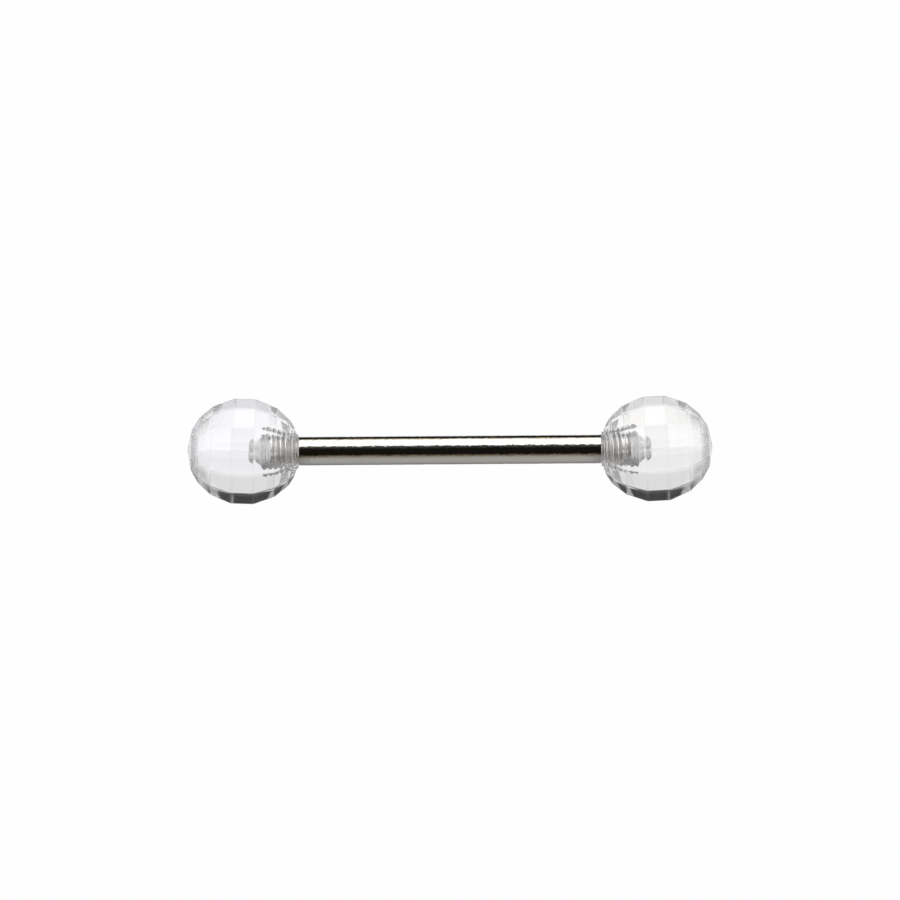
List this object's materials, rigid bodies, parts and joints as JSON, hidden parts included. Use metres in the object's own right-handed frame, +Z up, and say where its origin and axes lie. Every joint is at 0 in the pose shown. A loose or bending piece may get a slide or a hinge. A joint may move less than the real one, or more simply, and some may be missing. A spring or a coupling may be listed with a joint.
{
  "type": "nipple barbell",
  "caption": "Straight steel barbell for a piercing, with a clear faceted acrylic ball screwed on each threaded end.",
  "frame": {"origin": "on the surface it rests on, midway between the two balls, under the axis of the bar", "axes": "+X along the bar, from the left ball to the right ball; +Z up"},
  "size_m": [0.0292, 0.006, 0.0059],
  "materials": {
    "steel": "polished surgical steel",
    "acrylic": "clear colourless acrylic, cut facets, polished"
  },
  "bodies": {
    "bar": {"bar": "steel"},
    "left_ball": {"left_ball": "acrylic"},
    "right_ball": {"right_ball": "acrylic"}
  },
  "joints": [
    {"name": "left_ball_unscrew", "type": "slide", "parent": "bar", "child": "left_ball", "axis": [-1, 0, 0], "range_m": [0, 0.006]},
    {"name": "right_ball_unscrew", "type": "slide", "parent": "bar", "child": "right_ball", "axis": [1, 0, 0], "range_m": [0, 0.006]}
  ]
}
